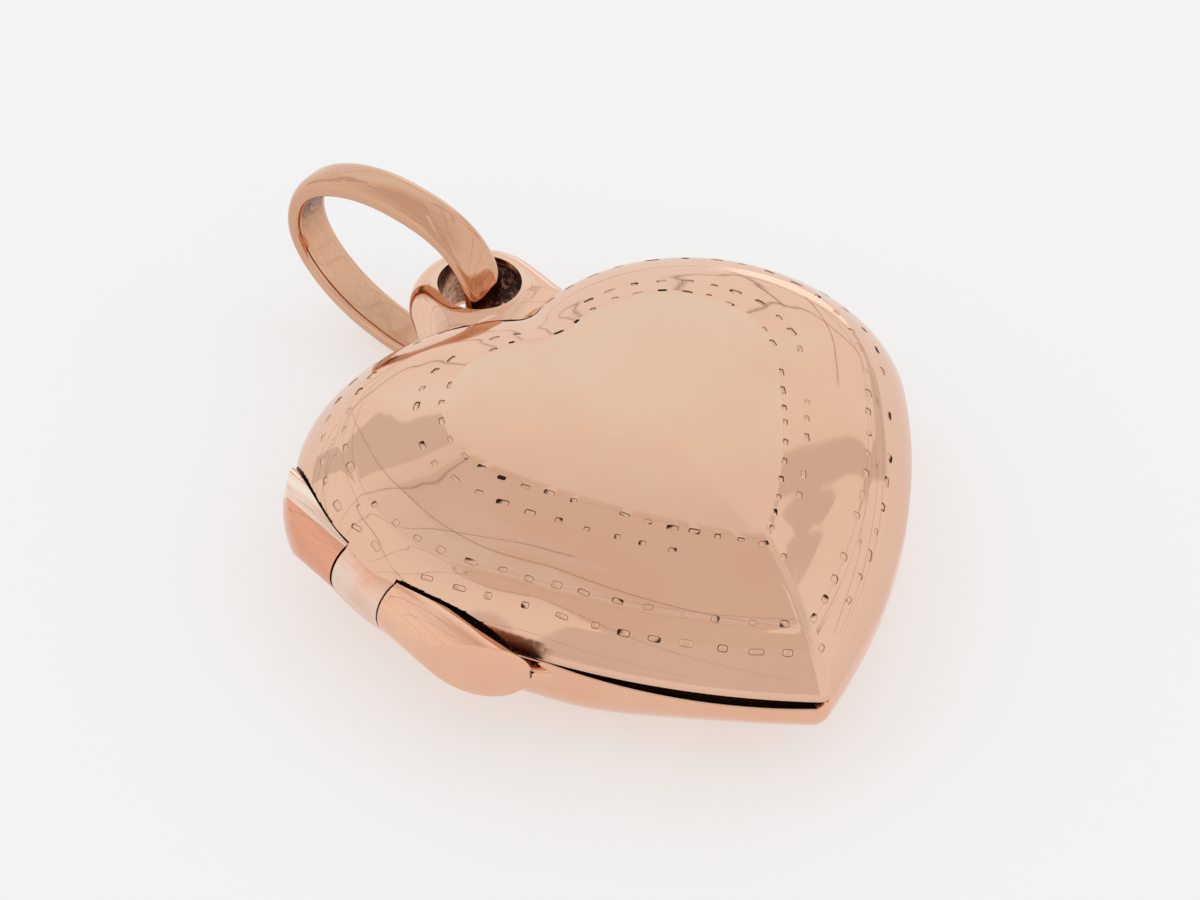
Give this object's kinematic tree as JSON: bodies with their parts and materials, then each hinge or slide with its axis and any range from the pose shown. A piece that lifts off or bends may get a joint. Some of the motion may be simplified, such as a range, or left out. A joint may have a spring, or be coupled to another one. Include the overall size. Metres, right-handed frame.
{
  "type": "heart locket",
  "caption": "Puffed heart locket with a side hinge, a crowned centre panel, a soldered top loop and an oval bail for a chain.",
  "frame": {"origin": "on the back's flat resting panel, under the middle of the line through the heart's two lobe centres", "axes": "+X to the lobe away from the hinge, +Y from the tip to the loop, +Z out of the lid"},
  "size_m": [0.0206, 0.0279, 0.0067],
  "materials": {
    "back_gold": "polished rose gold",
    "lid_gold": "polished rose gold",
    "pin_gold": "drawn wire",
    "bail_gold": "polished rose gold"
  },
  "bodies": {
    "back": {"back_shell": "back_gold", "hinge_pin": "pin_gold"},
    "lid": {"front_shell": "lid_gold"},
    "bail": {"bail": "bail_gold"}
  },
  "joints": [
    {"name": "lid_hinge", "type": "hinge", "parent": "back", "child": "lid", "pos_m": [-0.00936, 0, 0.0031], "axis": [0.1805, -0.9836, 0], "range_deg": [0, 110]},
    {"name": "bail_swing", "type": "hinge", "parent": "back", "child": "bail", "pos_m": [-0.00113, 0.0098, 0.0034], "axis": [0.9078, 0.4195, 0], "range_deg": [-45, 70]}
  ]
}
